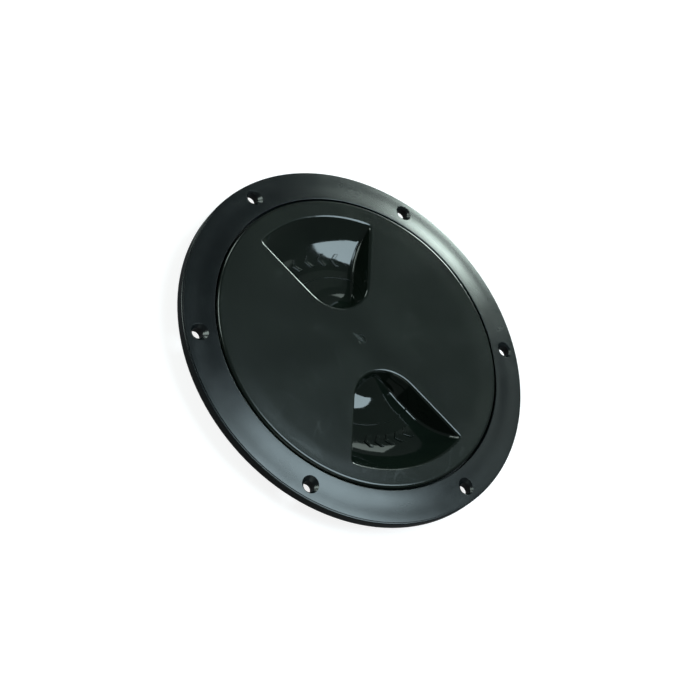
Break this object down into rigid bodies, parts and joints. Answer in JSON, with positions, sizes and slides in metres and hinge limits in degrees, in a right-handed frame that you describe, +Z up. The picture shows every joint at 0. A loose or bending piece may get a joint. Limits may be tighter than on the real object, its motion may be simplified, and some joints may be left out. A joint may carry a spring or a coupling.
{
  "type": "deck hatch",
  "caption": "Round screw-in deck hatch: flange ring with countersunk screw holes, threaded lid with two finger pockets, and an O-ring between them.",
  "frame": {"origin": "centre of the flange's underside, on the deck surface, at the top of the collar", "axes": "+Z up out of the deck, along the lid's axis; +X through one screw hole"},
  "size_m": [0.2, 0.2, 0.0186],
  "materials": {
    "ring_plastic": "satin black moulded plastic",
    "lid_plastic": "satin black moulded plastic, glossy in the pockets",
    "seal_rubber": "black nitrile"
  },
  "bodies": {
    "ring": {"deck_ring": "ring_plastic"},
    "seal": {"lid_seal": "seal_rubber"},
    "lid": {"lid": "lid_plastic"}
  },
  "joints": [
    {"name": "lid_rise", "type": "slide", "parent": "ring", "child": "seal", "axis": [0, 0, 1], "range_m": [0, 0.0175]},
    {"name": "lid_turn", "type": "hinge", "parent": "seal", "child": "lid", "pos_m": [0, 0, 0], "axis": [0, 0, 1], "range_deg": [0, 1260]}
  ],
  "couplings": [
    {"joint": "lid_rise", "follows": "lid_turn", "m_per_rad": 0.00079577}
  ]
}
